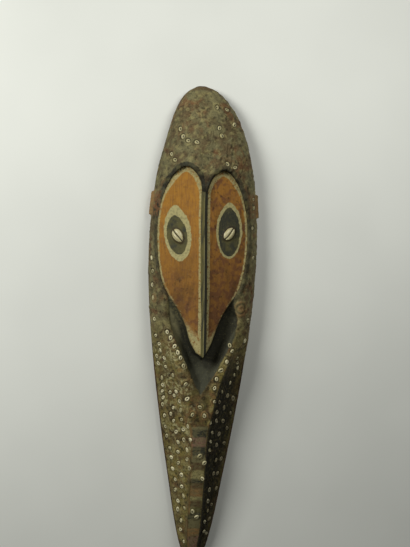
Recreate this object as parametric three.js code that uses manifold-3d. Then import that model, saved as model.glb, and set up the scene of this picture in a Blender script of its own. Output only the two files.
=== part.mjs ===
// Tall hollow-backed wooden spirit mask, lying face up on its back rim. Millimetres.
// +Y runs along the mask to the crown, +X to the viewer's right, +Z out of the face.
// The origin is on the rim plane, below the middle of the mask.
import * as THREE from "three";
import { mergeVertices } from "three/addons/utils/BufferGeometryUtils.js";
import Module from "manifold-3d";

const wasm = await Module();
wasm.setup();

// Whole mask
const CROWN_Y = 450;
const TIP_Y = -450;
const RIM_EDGE = 12;
const RIM_LAND = 15;

// Half the mask's width along its length: [y, half width]
const HALF_WIDTHS = [
  [CROWN_Y, 9],
  [440, 27.5],
  [423, 44.2],
  [390, 62],
  [330, 81],
  [271, 93],
  [165, 101],
  [61, 98.5],
  [-61, 86.5],
  [-184, 69],
  [-292, 50.5],
  [-370, 36.5],
  [-423, 23],
  [TIP_Y, 9],
];
// The crown leans to the left, and the face is carved a little askew of the outline.
const CROWN_LEAN = 12;
const LEAN_START_Y = 330;
// How far the brow, nose and keel stray from the outline's centre
const FACE_SHIFTS = [
  [CROWN_Y, 0],
  [400, -1.5],
  [300, -5],
  [228, -6],
  [150, -4.2],
  [30, -1.8],
  [-100, -1.6],
  [-300, -1.5],
  [-400, -3],
  [TIP_Y, -1],
];

// Height of the crest above the rim plane: [y, height]
const CREST_HEIGHTS = [
  [CROWN_Y, 17],
  [438, 29],
  [420, 42],
  [390, 54],
  [350, 65],
  [300, 73],
  [240, 77],
  [60, 79],
  [-130, 77],
  [-200, 73],
  [-280, 63],
  [-350, 50],
  [-410, 35],
  [TIP_Y, 18],
];
// The domed forehead and cheeks change into the steep-sided beard between these two heights.
const BEARD_BLEND = [0, -90];
const DOME_POWERS = [2.3, 0.62];
const BEARD_SLOPE_POWERS = [
  [-60, 1.5],
  [-170, 1.12],
];

// Half the width of the crest: the jaw ridges on both sides, which join in the beard's flat keel
const CREST_HALF_WIDTHS = [
  [CROWN_Y, 5],
  [423, 34],
  [390, 48],
  [330, 64],
  [271, 74],
  [165, 80],
  [60, 80],
  [0, 68],
  [-60, 46],
  [-100, 32],
  [-137, 24],
  [-178, 16.5],
  [-216, 14.5],
  [-290, 13],
  [-380, 12],
  [TIP_Y, 4],
];
const CREST_SHOULDER = { width: 4, drop: 3.5 };

// V-shaped hollow under the face, between the jaw ridges
const JAW_TIP_Y = -122;
const JAW_SLOPE = 1.95;
const JAW_HALF_SPAN = 74;
const JAW_DEPTHS = [
  [60, 31],
  [-20, 28],
  [-60, 19],
  [-95, 10],
  [-122, 5],
];
const JAW_DEPTH_SPAN = 82;
const JAW_WALL = 15;
const JAW_FADE = [25, 100];

// Face: two flat lobes that fall away from a narrow nose ridge
const FACE_RIDGE_HEIGHTS = [
  [300, 70],
  [180, 74],
  [60, 82],
  [-44, 93],
];
const FACE_FALLS = [
  [300, 0.28],
  [180, 0.38],
  [60, 0.42],
  [-44, 0.5],
];
const FACE_ENDS = [-60, 300];
const FACE_REACH = 90;
const NOSE_HALF_BASE = 5.8;
const NOSE_HALF_CREST = 1.8;
const NOSE_RISES = [
  [262, 5],
  [200, 5.5],
  [140, 7],
  [-44, 9],
];
const NOSE_TIP = [0, -44];
// Outer edge of the right lobe from its top to the nose tip, and the brow peak between the lobes
const LOBE_EDGE = [
  [33, 292],
  [49, 284],
  [63, 265],
  [74, 240],
  [81, 205],
  [82.5, 165],
  [79, 126],
  [71, 90],
  [58, 63],
  [41, 38],
  [28, 12],
  [17, -18],
  [7, -37],
];
const BROW_EDGE = [
  [NOSE_HALF_BASE, 250],
  [9.5, 267],
  [18.5, 282],
];
// The left lobe reaches a little further up than the right one, from this height on.
const LEFT_LOBE_RISE = 6;
const LEFT_LOBE_RISE_START = 180;
// It is also wider at its lower end.
const LEFT_LOBE_EXTRA = [
  [140, 0],
  [110, 2.5],
  [63, 3],
  [12, 4],
  [-18, 6],
  [-37, 5],
];
// The face is let into the front down to a level, and overlaps its socket's floor and walls.
const FACE_ROOT = 15;
const ROOT_OVERLAP = 3;
const WALL_OVERLAP = 0.5;
const PRISM_DEPTH = 120;

// Side lugs, and the gouged hollow of the back: [y, height of the hollow]
const LUG = { y: 232, length: 44, proud: 4.5, inward: 14, height: 17 };
const HOLLOW_HEIGHTS = [
  [424, 5],
  [400, 22],
  [360, 37],
  [300, 49],
  [225, 53],
  [150, 51],
  [60, 34],
  [0, 28],
  [-85, 28],
  [-145, 42],
  [-200, 45],
  [-280, 38],
  [-350, 26],
  [-400, 12],
  [-424, 5],
];
const HOLLOW_POWERS = [2.5, 0.55];
const HOLLOW_LIP = 2;

// Cowries set in the eyes, slit outwards. The turn is the slit's, in degrees from +X.
const COWRIE = { length: 27, width: 18, proud: 5.5, sunk: 4.5, taper: 0.12 };
const COWRIE_SLIT = { width: 2, depth: 2.5, share: 0.8 };
const EYES = [
  { name: "eye_cowrie_left", x: -51, y: 173, turn: -53 },
  { name: "eye_cowrie_right", x: 42.5, y: 179.5, turn: 47 },
];

// Nassa shells, mouth outwards, pressed into the paste in short rows
const SHELL = { length: 10, width: 7.6, proud: 2.6, sunk: 1.8, mouth: 1.3, lip: 0.6, sides: 6 };
const SHELL_SPACING = 10.8;
const SHELL_STRAY = 2.2;
const SEAT_GAP = 0.35;
const SEAT_CLEARANCE = 2;
const SHELL_ROWS = [
  { from: [13, 407], to: [31, 405], count: 2 },
  { from: [20, 371], to: [20, 371], count: 1 },
  { from: [-52, 366], to: [-48, 352], count: 2 },
  { from: [-39, 343], to: [-21, 340], count: 2 },
  { from: [-67, 322], to: [-61, 309], count: 2 },
  { from: [34, 306], to: [48, 300], count: 2 },
  { from: [88, 247], to: [90, 228], count: 2 },
  { from: [87, 190], to: [89, 135], count: 2 },
  { from: [-94, 130], to: [-91, 59], count: 4 },
  { from: [-65, -2], to: [-36, -59], count: 6 },
  { from: [-77, -27], to: [-64, -68], count: 4 },
  { from: [53, -36], to: [26, -84], count: 4 },
  { from: [25, -99], to: [26, -128], count: 3 },
  { from: [66, -50], to: [73, -75], count: 3 },
  { from: [0, -137], to: [18, -168], count: 3 },
  { from: [-14, -150], to: [10, -152], count: 2 },
  { from: [1, -228], to: [11, -242], count: 2 },
  { from: [-6, -336], to: [1, -350], count: 2 },
  { from: [-38, -128], to: [-17, -254], count: 8 },
  { from: [-47, -148], to: [-21, -333], count: 10 },
  { from: [-69, -106], to: [-66, -120], count: 2 },
  { from: [-53, -118], to: [-43, -111], count: 2 },
  { from: [-65, -144], to: [-19, -404], count: 14 },
  { from: [-50, -84], to: [-71, -92], count: 2 },
  { from: [57, -100], to: [35, -215], count: 6 },
  { from: [41, -186], to: [27, -300], count: 5 },
  { from: [65, -130], to: [25, -392], count: 10 },
];
// So many shells are pieces of their own. The rest are one with the paste that holds them.
const LOOSE_SHELLS = 57;

const UP = new THREE.Vector3(0, 0, 1);
const DOWN = new THREE.Vector3(0, 0, -1);
const ONE = new THREE.Vector3(1, 1, 1);
const { clamp, degToRad, lerp, seededRandom, smoothstep } = THREE.MathUtils;

const steps = (from, to, count) =>
  Array.from({ length: count + 1 }, (_, i) => lerp(from, to, i / count));

// Smooth value at y between the stations of a [y, value] list, whose y falls from first to last
function along(stations, y) {
  const last = stations.length - 1;
  if (y >= stations[0][0]) return stations[0][1];
  if (y <= stations[last][0]) return stations[last][1];
  const i = stations.findIndex((s) => s[0] < y) - 1;
  const slope = (k) => {
    const a = stations[Math.max(k - 1, 0)];
    const b = stations[Math.min(k + 1, last)];
    return (b[1] - a[1]) / (b[0] - a[0]);
  };
  const [y0, v0] = stations[i];
  const [y1, v1] = stations[i + 1];
  const d = y1 - y0;
  const t = (y - y0) / d;
  const start = t * (1 - t) * (1 - t) * d * slope(i);
  const end = t * t * (t - 1) * d * slope(i + 1);
  return lerp(v0, v1, t * t * (3 - 2 * t)) + start + end;
}

const halfWidth = (y) => along(HALF_WIDTHS, y);

function outlineCentre(y) {
  const t = Math.max(0, (y - LEAN_START_Y) / (CROWN_Y - LEAN_START_Y));
  return -CROWN_LEAN * t * t;
}

// The line that the brow, nose and keel follow
const midline = (y) => outlineCentre(y) + along(FACE_SHIFTS, y);

// Distance from the midline to the outline, on the side that x is on
function sideWidth(side, y) {
  return halfWidth(y) + side * (outlineCentre(y) - midline(y));
}

// Half the span of the V-shaped hollow under the face
const jawHalf = (y) => clamp((y - JAW_TIP_Y) / JAW_SLOPE, 0, JAW_HALF_SPAN);

// Depth of that hollow at a distance x from the midline
function jawHollow(x, y) {
  const across = Math.abs(x);
  const toJaw = (y - JAW_TIP_Y - JAW_SLOPE * across) / Math.hypot(1, JAW_SLOPE);
  const inside = Math.min(toJaw, JAW_HALF_SPAN - across);
  const depth = along(JAW_DEPTHS, y) * (1 - (across / JAW_DEPTH_SPAN) ** 2);
  return depth * (1 - smoothstep(y, ...JAW_FADE)) * smoothstep(inside, 0, JAW_WALL);
}

// Height of the carved front, without the face, at a distance x from the midline
function frontHeight(x, y) {
  const side = sideWidth(Math.sign(x), y);
  const crest = along(CREST_HALF_WIDTHS, y);
  const across = Math.min(Math.abs(x) / side, 1);
  const dome = (1 - across ** DOME_POWERS[0]) ** DOME_POWERS[1];
  const down = clamp((Math.abs(x) - crest) / (side - crest), 0, 1);
  const slope = (1 - down) ** along(BEARD_SLOPE_POWERS, y);
  const { width, drop } = CREST_SHOULDER;
  const step = smoothstep(Math.abs(x), crest, crest + width) * drop * (1 - down);
  const beard = smoothstep(-y, -BEARD_BLEND[0], -BEARD_BLEND[1]);
  const top = along(CREST_HEIGHTS, y) - RIM_EDGE;
  const rise = lerp(top * dome, top * slope - step, beard);
  return RIM_EDGE + rise - jawHollow(x, y);
}

// A three.js geometry as a manifold-3d solid
function toSolid(geometry) {
  const bare = geometry.clone();
  bare.deleteAttribute("normal");
  bare.deleteAttribute("uv");
  const merged = mergeVertices(bare, 1e-4);
  return new wasm.Manifold(
    new wasm.Mesh({
      numProp: 3,
      vertProperties: merged.attributes.position.array,
      triVerts: new Uint32Array(merged.index.array),
    }),
  );
}

// A manifold-3d solid as a faceted three.js mesh
function toMesh(solid, name, material) {
  const { vertProperties, triVerts } = solid.getMesh();
  const shared = new THREE.BufferGeometry();
  shared.setAttribute("position", new THREE.BufferAttribute(vertProperties, 3));
  shared.setIndex(new THREE.BufferAttribute(triVerts, 1));
  const faceted = shared.toNonIndexed();
  faceted.computeVertexNormals();
  const mesh = new THREE.Mesh(faceted, material);
  mesh.name = name;
  return mesh;
}

// Closed solid between a grid of top points and the flat level under them.
// grid[row][column] is a Vector3; rows run towards +Y and columns towards +X.
function gridSolid(grid, low) {
  const rows = grid.length - 1;
  const columns = grid[0].length - 1;
  const positions = grid.flat().flatMap((p) => [p.x, p.y, p.z]);
  const index = [];
  const at = (r, c) => r * (columns + 1) + c;
  for (let r = 0; r < rows; r++) {
    for (let c = 0; c < columns; c++) {
      const [a, b] = [at(r, c), at(r, c + 1)];
      const [d, e] = [at(r + 1, c), at(r + 1, c + 1)];
      if (c < columns / 2) index.push(a, b, e, a, e, d);
      else index.push(a, b, d, b, e, d);
    }
  }
  const edge = [];
  for (let c = 0; c < columns; c++) edge.push(at(0, c));
  for (let r = 0; r < rows; r++) edge.push(at(r, columns));
  for (let c = columns; c > 0; c--) edge.push(at(rows, c));
  for (let r = rows; r > 0; r--) edge.push(at(r, 0));
  const first = positions.length / 3;
  const contour = edge.map((v) => {
    const [x, y] = [positions[3 * v], positions[3 * v + 1]];
    positions.push(x, y, low);
    return new THREE.Vector2(x, y);
  });
  edge.forEach((v, i) => {
    const next = (i + 1) % edge.length;
    index.push(v, first + i, first + next, v, first + next, edge[next]);
  });
  for (const [a, b, c] of THREE.ShapeUtils.triangulateShape(contour, [])) {
    index.push(first + c, first + b, first + a);
  }
  const geometry = new THREE.BufferGeometry();
  geometry.setAttribute("position", new THREE.Float32BufferAttribute(positions, 3));
  geometry.setIndex(index);
  return toSolid(geometry);
}

// Distances from the midline to a row's points on one side, with the hollow's wall and the
// crest's edge among them
function rowReaches(side, y) {
  const rim = sideWidth(side, y);
  const crest = along(CREST_HALF_WIDTHS, y);
  const lip = clamp(jawHalf(y), crest / 3, crest - 3);
  const foot = Math.max(lip - JAW_WALL, crest / 4);
  const shoulder = Math.min(crest + CREST_SHOULDER.width, lerp(crest, rim, 1 / 3));
  return [foot / 2, ...steps(foot, lip, 3), crest, ...steps(shoulder, rim, 4)];
}

// Carved front with its beard, down to the rim plane
function frontSolid() {
  const beard = [TIP_Y, ...steps(-440, -160, 11)];
  const jaw = steps(-137, 103, 16);
  const crown = [...steps(120, 405, 11), 422, 436, CROWN_Y];
  const grid = [...beard, ...jaw, ...crown].map((y) => {
    const left = rowReaches(-1, y).map((x) => -x);
    const xs = [...left.reverse(), 0, ...rowReaches(1, y)];
    return xs.map((x) => new THREE.Vector3(midline(y) + x, y, frontHeight(x, y)));
  });
  return gridSolid(grid, 0);
}

// Both lobes of the face in plan, clockwise, with the brow peak between them
function faceOutline() {
  const place = ([x, y], side) => {
    if (side > 0) return new THREE.Vector2(midline(y) + x, y);
    const lift = LEFT_LOBE_RISE * smoothstep(y, LEFT_LOBE_RISE_START, 300);
    const reach = x > NOSE_HALF_BASE ? x + along(LEFT_LOBE_EXTRA, y) : x;
    return new THREE.Vector2(midline(y) - reach, y + lift);
  };
  const lobe = (side) => {
    const corners = [...BROW_EDGE, ...LOBE_EDGE].map((p) => place(p, side));
    return new THREE.SplineCurve(corners).getPoints(2 * corners.length);
  };
  return [...lobe(1), place(NOSE_TIP, 1), ...lobe(-1).reverse()];
}

// The face's outline moved outwards, and extruded from a level up past the whole mask
function facePrism(low, growth) {
  const outline = faceOutline().map((p, i, all) => {
    const run = all[(i + 1) % all.length].clone().sub(all.at(i - 1)).setLength(growth);
    return new THREE.Vector2(p.x - run.y, p.y + run.x);
  });
  const depth = { depth: PRISM_DEPTH, bevelEnabled: false };
  const prism = new THREE.ExtrudeGeometry(new THREE.Shape(outline), depth);
  return toSolid(prism.translate(0, 0, low));
}

// Solid under the face's two planes and its nose ridge
function faceSolid() {
  const right = [NOSE_HALF_CREST, NOSE_HALF_BASE, FACE_REACH];
  const xs = [...right.map((x) => -x).reverse(), ...right];
  const grid = steps(...FACE_ENDS, 12).map((y) =>
    xs.map((x) => {
      const across = Math.abs(x);
      const plane = along(FACE_RIDGE_HEIGHTS, y) - along(FACE_FALLS, y) * across;
      const nose = across < NOSE_HALF_BASE ? along(NOSE_RISES, y) : 0;
      return new THREE.Vector3(midline(y) + x, y, plane + nose);
    }),
  );
  return gridSolid(grid, 0).intersect(facePrism(FACE_ROOT - ROOT_OVERLAP, WALL_OVERLAP));
}

// Small lugs that stand out at both sides of the eyes
function lugSolid(side) {
  const box = new THREE.BoxGeometry(LUG.inward + LUG.proud, LUG.length, LUG.height);
  const x = side * (halfWidth(LUG.y) + (LUG.proud - LUG.inward) / 2);
  return toSolid(box.translate(x, LUG.y, LUG.height / 2));
}

// Gouged hollow of the back
function hollowSolid() {
  const ends = [HOLLOW_HEIGHTS.at(-1)[0], HOLLOW_HEIGHTS[0][0]];
  const grid = steps(...ends, 24).map((y) => {
    const reach = halfWidth(y) - RIM_LAND;
    const ceiling = along(HOLLOW_HEIGHTS, y);
    return steps(-Math.PI / 2, Math.PI / 2, 10).map((angle) => {
      const across = Math.sin(angle);
      const arch = (1 - Math.abs(across) ** HOLLOW_POWERS[0]) ** HOLLOW_POWERS[1];
      const z = lerp(HOLLOW_LIP, ceiling, arch);
      return new THREE.Vector3(outlineCentre(y) + reach * across, y, z);
    });
  });
  return gridSolid(grid, -1);
}

// The carved wood with its paste coat, before anything is set in it
function carvedSolid() {
  return frontSolid()
    .subtract(facePrism(FACE_ROOT, 0))
    .add(faceSolid())
    .add(lugSolid(-1))
    .add(lugSolid(1))
    .subtract(hollowSolid());
}

// Where a line straight down meets the front
function placeOn(front, x, y) {
  const above = new THREE.Vector3(x, y, PRISM_DEPTH);
  const { point, face } = new THREE.Raycaster(above, DOWN).intersectObject(front)[0];
  return { point, normal: face.normal };
}

// A shape made standing on the XY plane, turned about its own axis and put on a place
function putOn({ point, normal }, turn, geometry) {
  const lean = new THREE.Quaternion().setFromUnitVectors(UP, normal);
  const spin = new THREE.Quaternion().setFromAxisAngle(UP, turn);
  const matrix = new THREE.Matrix4().compose(point, lean.multiply(spin), ONE);
  return toSolid(geometry.applyMatrix4(matrix));
}

// Egg-shaped cowrie on its back, narrower at one end. With a gap it is the seat cut for it.
function cowrieShape(gap) {
  const egg = new THREE.SphereGeometry(1, 12, 8);
  const points = egg.attributes.position;
  for (let i = 0; i < points.count; i++) {
    const [x, y, z] = [points.getX(i), points.getY(i), points.getZ(i)];
    const half = (COWRIE.width / 2) * (1 - COWRIE.taper * x) + gap;
    const high = (z > 0 ? COWRIE.proud : COWRIE.sunk) + gap;
    points.setXYZ(i, x * (COWRIE.length / 2 + gap), y * half, z * high);
  }
  return egg;
}

function cowrieSlit() {
  const { width, depth, share } = COWRIE_SLIT;
  const slit = new THREE.BoxGeometry(COWRIE.length * share, width, 2 * COWRIE.proud);
  return slit.translate(0, 0, 2 * COWRIE.proud - depth);
}

// Oval turned shape: [share of the shell's radius, height] up its profile
function shellLathe(profile, gap) {
  const points = profile.map(([r, z]) => new THREE.Vector2(r, z));
  const lathe = new THREE.LatheGeometry(points, SHELL.sides).rotateX(Math.PI / 2);
  return lathe.scale(SHELL.length / 2 + gap, SHELL.width / 2 + gap, 1);
}

// Oval shell on its back, with a dished mouth
function shellShape() {
  const { proud, sunk, mouth, lip } = SHELL;
  const profile = [
    [0, -sunk],
    [1, -sunk],
    [lip, proud],
    [0, mouth],
  ];
  return shellLathe(profile, 0);
}

// Hole that a shell sits in, with a gap all round
function shellSeat() {
  const [low, high] = [-SHELL.sunk - SEAT_GAP, SHELL.proud + SEAT_CLEARANCE];
  const profile = [
    [0, low],
    [1, low],
    [1, high],
    [0, high],
  ];
  return shellLathe(profile, SEAT_GAP);
}

// Places and turns of all shells, a little out of line, each clear of those before it
function shellPlaces(front) {
  const places = [];
  let seed = 1;
  const stray = (amount) => amount * (2 * seededRandom(seed++) - 1);
  for (const { from, to, count } of SHELL_ROWS) {
    for (const t of count > 1 ? steps(0, 1, count - 1) : [0]) {
      const x = lerp(from[0], to[0], t) + stray(SHELL_STRAY);
      const y = lerp(from[1], to[1], t) + stray(SHELL_STRAY);
      const place = placeOn(front, x, y);
      const turn = stray(Math.PI);
      const near = places.some((p) => p.point.distanceTo(place.point) < SHELL_SPACING);
      if (!near) places.push({ ...place, turn });
    }
  }
  return places;
}

const materials = {
  wood: new THREE.MeshStandardMaterial({ color: 0x5c5036, roughness: 0.9 }),
  cowrie: new THREE.MeshStandardMaterial({ color: 0xd8ccb0, roughness: 0.35 }),
  nassa: new THREE.MeshStandardMaterial({ color: 0xb9b39c, roughness: 0.5 }),
};

let body = carvedSolid();
const front = toMesh(body, "front", materials.wood);
const model = new THREE.Group();

for (const { name, x, y, turn } of EYES) {
  const place = placeOn(front, x, y);
  const angle = degToRad(turn);
  const egg = putOn(place, angle, cowrieShape(0));
  const cowrie = egg.subtract(putOn(place, angle, cowrieSlit()));
  body = body.subtract(putOn(place, angle, cowrieShape(SEAT_GAP)));
  model.add(toMesh(cowrie, name, materials.cowrie));
}

shellPlaces(front).forEach((place, i) => {
  const shell = putOn(place, place.turn, shellShape());
  if (i >= LOOSE_SHELLS) {
    body = body.add(shell);
    return;
  }
  body = body.subtract(putOn(place, place.turn, shellSeat()));
  const number = String(i + 1).padStart(2, "0");
  model.add(toMesh(shell, `nassa_shell_${number}`, materials.nassa));
});

model.add(toMesh(body, "wooden_mask", materials.wood));

export default model;
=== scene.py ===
"""Tall painted spirit mask: carved wood under a clay paste coat, with cowrie eyes and small shells.

It lies face up on its back rim. Tables and sizes are in millimetres in the part's own frame:
+Y to the crown, +X to the viewer's right, +Z out of the face. Meshes are in metres.
"""
import math
from functools import partial, reduce

import bpy
import numpy as np
from mathutils import Matrix, Vector


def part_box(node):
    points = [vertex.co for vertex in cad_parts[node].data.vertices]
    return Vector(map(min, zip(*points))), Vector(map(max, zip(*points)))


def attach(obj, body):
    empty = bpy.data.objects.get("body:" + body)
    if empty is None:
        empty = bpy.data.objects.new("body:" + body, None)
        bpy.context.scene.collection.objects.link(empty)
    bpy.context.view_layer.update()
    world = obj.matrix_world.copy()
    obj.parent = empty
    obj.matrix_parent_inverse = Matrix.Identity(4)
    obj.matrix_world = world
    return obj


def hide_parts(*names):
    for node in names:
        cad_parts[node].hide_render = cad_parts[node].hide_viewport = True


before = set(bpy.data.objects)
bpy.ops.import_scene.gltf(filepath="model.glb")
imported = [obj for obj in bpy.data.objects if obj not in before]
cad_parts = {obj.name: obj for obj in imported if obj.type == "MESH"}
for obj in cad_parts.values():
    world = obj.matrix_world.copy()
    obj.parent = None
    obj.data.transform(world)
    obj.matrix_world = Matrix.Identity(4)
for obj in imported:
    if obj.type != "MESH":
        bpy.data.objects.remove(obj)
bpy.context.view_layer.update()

bl_info = {
    "name": "Paste-Coated Spirit Mask",
    "version": (1, 0, 0),
    "blender": (4, 5, 0),
    "location": "View3D > Sidebar > Mask",
    "description": "Builds a tall painted wooden mask with shells pressed into its paste coat",
    "category": "Object",
}

MM = 0.001

# Outline, crest and hollow along the mask: (y, value), y falling from the crown to the tip
CROWN_Y = 450
TIP_Y = -450
HALF_WIDTHS = (
    (450, 9), (440, 27.5), (423, 44.2), (390, 62), (330, 81), (271, 93), (165, 101),
    (61, 98.5), (-61, 86.5), (-184, 69), (-292, 50.5), (-370, 36.5), (-423, 23), (-450, 9),
)
CREST_HEIGHTS = (
    (450, 17), (438, 29), (420, 42), (390, 54), (350, 65), (300, 73), (240, 77),
    (60, 79), (-130, 77), (-200, 73), (-280, 63), (-350, 50), (-410, 35), (-450, 18),
)
CREST_HALF_WIDTHS = (
    (450, 5), (423, 34), (390, 48), (330, 64), (271, 74), (165, 80), (60, 80), (0, 68),
    (-60, 46), (-100, 32), (-137, 24), (-178, 16.5), (-216, 14.5), (-290, 13), (-380, 12),
    (-450, 4),
)
HOLLOW_HEIGHTS = (
    (424, 5), (400, 22), (360, 37), (300, 49), (225, 53), (150, 51), (60, 34), (0, 28),
    (-85, 28), (-145, 42), (-200, 45), (-280, 38), (-350, 26), (-400, 12), (-424, 5),
)
BEARD_SLOPE_POWERS = ((-60, 1.5), (-170, 1.12))
RIM_EDGE = 12
RIM_LAND = 15
CROWN_LEAN = 12
LEAN_START_Y = 330
# How far the brow, nose and keel stray from the outline's centre
FACE_SHIFTS = (
    (450, 0), (400, -1.5), (300, -5), (228, -6), (150, -4.2), (30, -1.8), (-100, -1.6),
    (-300, -1.5), (-400, -3), (-450, -1),
)
BEARD_BLEND = (0, 90)
DOME_POWERS = (2.3, 0.62)
CREST_SHOULDER = (4, 3.5)
HOLLOW_POWERS = (2.5, 0.55)
HOLLOW_LIP = 2
LUG = {"y": 232, "half": 22, "proud": 4.5, "height": 17}

# V-shaped hollow under the face
JAW_TIP_Y = -122
JAW_SLOPE = 1.95
JAW_HALF_SPAN = 74
JAW_DEPTHS = ((60, 31), (-20, 28), (-60, 19), (-95, 10), (-122, 5))
JAW_DEPTH_SPAN = 82
JAW_WALL = 15
JAW_FADE = (25, 100)

# Face lobes and nose
FACE_RIDGE_HEIGHTS = ((300, 70), (180, 74), (60, 82), (-44, 93))
FACE_FALLS = ((300, 0.28), (180, 0.38), (60, 0.42), (-44, 0.5))
NOSE_RISES = ((262, 5), (200, 5.5), (140, 7), (-44, 9))
NOSE_HALF_BASE = 5.8
NOSE_TIP = (0, -44)
LOBE_CORNERS = (
    (NOSE_HALF_BASE, 250), (9.5, 267), (18.5, 282), (33, 292), (49, 284), (63, 265), (74, 240),
    (81, 205), (82.5, 165), (79, 126), (71, 90), (58, 63), (41, 38), (28, 12),
    (17, -18), (7, -37),
)
LEFT_LOBE_RISE = 6
LEFT_LOBE_RISE_START = 180
LEFT_LOBE_EXTRA = ((140, 0), (110, 2.5), (63, 3), (12, 4), (-18, 6), (-37, 5))
# Edge of the dark paint in the V-shaped hollow, x from the midline
JAW_PAINT_RIGHT = (
    (68, 95), (62, 75), (58, 52), (65, 28), (60, -8), (45, -36), (27, -70), (11, -97),
)
JAW_PAINT_LEFT = (
    (66, 95), (62, 75), (61, 45), (58, 20), (51, -8), (38, -36), (24, -66), (11, -94),
)
JAW_PAINT_TIP = (0, -113)

# Eyes: painted ovals (centre x, centre y, half width, half height, lean) and the shell in each
EYE_DARK_OVALS = ((-53, 174.5, 18, 36, 10), (43, 183, 21, 45, 1))
EYE_PALE_OVALS = ((-52, 178, 24, 51, 8), (43, 185.5, 25, 51.5, 1))
OVAL_POINTS = 48
OVAL_TOP_POWER = 1.35
EYES = (("eye_cowrie_left", -51, 173, -53), ("eye_cowrie_right", 42.5, 179.5, 47))

# Nassa shells in rows: (x from, y from, x to, y to, number)
SHELL_ROWS = (
    (13, 407, 31, 405, 2), (20, 371, 20, 371, 1), (-52, 366, -48, 352, 2),
    (-39, 343, -21, 340, 2), (-67, 322, -61, 309, 2), (34, 306, 48, 300, 2),
    (88, 247, 90, 228, 2), (87, 190, 89, 135, 2), (-94, 130, -91, 59, 4),
    (-65, -2, -36, -59, 6), (-77, -27, -64, -68, 4), (53, -36, 26, -84, 4),
    (25, -99, 26, -128, 3), (66, -50, 73, -75, 3), (0, -137, 18, -168, 3),
    (-14, -150, 10, -152, 2), (1, -228, 11, -242, 2), (-6, -336, 1, -350, 2),
    (-38, -128, -17, -254, 8), (-47, -148, -21, -333, 10), (-69, -106, -66, -120, 2),
    (-53, -118, -43, -111, 2), (-65, -144, -19, -404, 14), (-50, -84, -71, -92, 2),
    (57, -100, 35, -215, 6), (41, -186, 27, -300, 5), (65, -130, 25, -392, 10),
)
# More small shells that are too many for the solids, in rows of the same kind
MORE_SHELL_ROWS = (
    (-80, -39, -78, -68, 3), (-55, -41, -55, -41, 1), (-47, -122, -49, -157, 2),
    (-65, -129, -57, -174, 2), (-32, -135, -42, -182, 2), (-18, -194, -19, -228, 2),
    (-31, -222, -45, -254, 2), (50, -24, 76, -59, 2), (66, -87, 68, -74, 1),
    (38, -112, 20, -222, 7), (46, -192, 36, -237, 3), (33, -262, 17, -384, 7),
    (22, 355, 48, 379, 2), (3, -243, 10, -270, 2), (-28, -92, -22, -172, 4),
    (-88, 20, -84, -10, 2), (84, 20, 80, -20, 2),
)
SHELL_SPACING = 10.8
SHELL_STRAY = 2.2
SHELL_RISE = 0.4


def ease(t):
    """A share from 0 to 1, levelled off at both ends."""
    return t * t * (3 - 2 * t)


def smoothstep(value, low, high):
    return ease(np.clip((value - low) / (high - low), 0, 1))


def mix(a, b, share):
    return a + (b - a) * share


def stack(*parts):
    """Coordinates put together as points."""
    return np.stack(np.broadcast_arrays(*parts), axis=-1)


def along(stations, y):
    """Smooth values at y between the stations of a (y, value) list."""
    ys, values = np.array(stations, float)[::-1].T
    wide = np.r_[ys[:1], ys, ys[-1:]]
    tall = np.r_[values[:1], values, values[-1:]]
    slopes = (tall[2:] - tall[:-2]) / (wide[2:] - wide[:-2])
    i = np.clip(np.searchsorted(ys, y, "right") - 1, 0, len(ys) - 2)
    step = ys[i + 1] - ys[i]
    t = np.clip((y - ys[i]) / step, 0, 1)
    start = t * (1 - t) ** 2 * step * slopes[i]
    end = t * t * (t - 1) * step * slopes[i + 1]
    return mix(values[i], values[i + 1], ease(t)) + start + end


def outline_centre(y):
    t = np.maximum(0, (y - LEAN_START_Y) / (CROWN_Y - LEAN_START_Y))
    return -CROWN_LEAN * t * t


def midline(y):
    """The line that the brow, nose and keel follow."""
    return outline_centre(y) + along(FACE_SHIFTS, y)


def side_width(side, y):
    """Distance from the midline to the outline on one side."""
    return along(HALF_WIDTHS, y) + side * (outline_centre(y) - midline(y))


def jaw_hollow(x, y):
    across = np.abs(x)
    to_jaw = (y - JAW_TIP_Y - JAW_SLOPE * across) / math.hypot(1, JAW_SLOPE)
    inside = np.minimum(to_jaw, JAW_HALF_SPAN - across)
    depth = along(JAW_DEPTHS, y) * (1 - (across / JAW_DEPTH_SPAN) ** 2)
    return depth * (1 - smoothstep(y, *JAW_FADE)) * smoothstep(inside, 0, JAW_WALL)


def front_height(x, y):
    """Height of the carved front without its face, at x from the midline."""
    side = side_width(np.sign(x), y)
    crest = along(CREST_HALF_WIDTHS, y)
    across = np.minimum(np.abs(x) / side, 1)
    dome = (1 - across ** DOME_POWERS[0]) ** DOME_POWERS[1]
    down = np.clip((np.abs(x) - crest) / (side - crest), 0, 1)
    slope = (1 - down) ** along(BEARD_SLOPE_POWERS, y)
    width, drop = CREST_SHOULDER
    step = smoothstep(np.abs(x), crest, crest + width) * drop * (1 - down)
    beard = smoothstep(-y, *BEARD_BLEND)
    top = along(CREST_HEIGHTS, y) - RIM_EDGE
    return RIM_EDGE + mix(top * dome, top * slope - step, beard) - jaw_hollow(x, y)


def spline(points, count):
    """Points evenly spread along a Catmull-Rom curve, as in the solids."""
    p = np.array(points, float)
    at = np.linspace(0, len(p) - 1, count + 1)
    i = np.minimum(at.astype(int), len(p) - 2)
    t = (at - i)[:, None]
    a, b, c, d = p[np.maximum(i - 1, 0)], p[i], p[i + 1], p[np.minimum(i + 2, len(p) - 1)]
    m, n = (c - a) / 2, (d - b) / 2
    return (2 * b - 2 * c + m + n) * t**3 + (-3 * b + 3 * c - 2 * m - n) * t**2 + m * t + b


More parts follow.
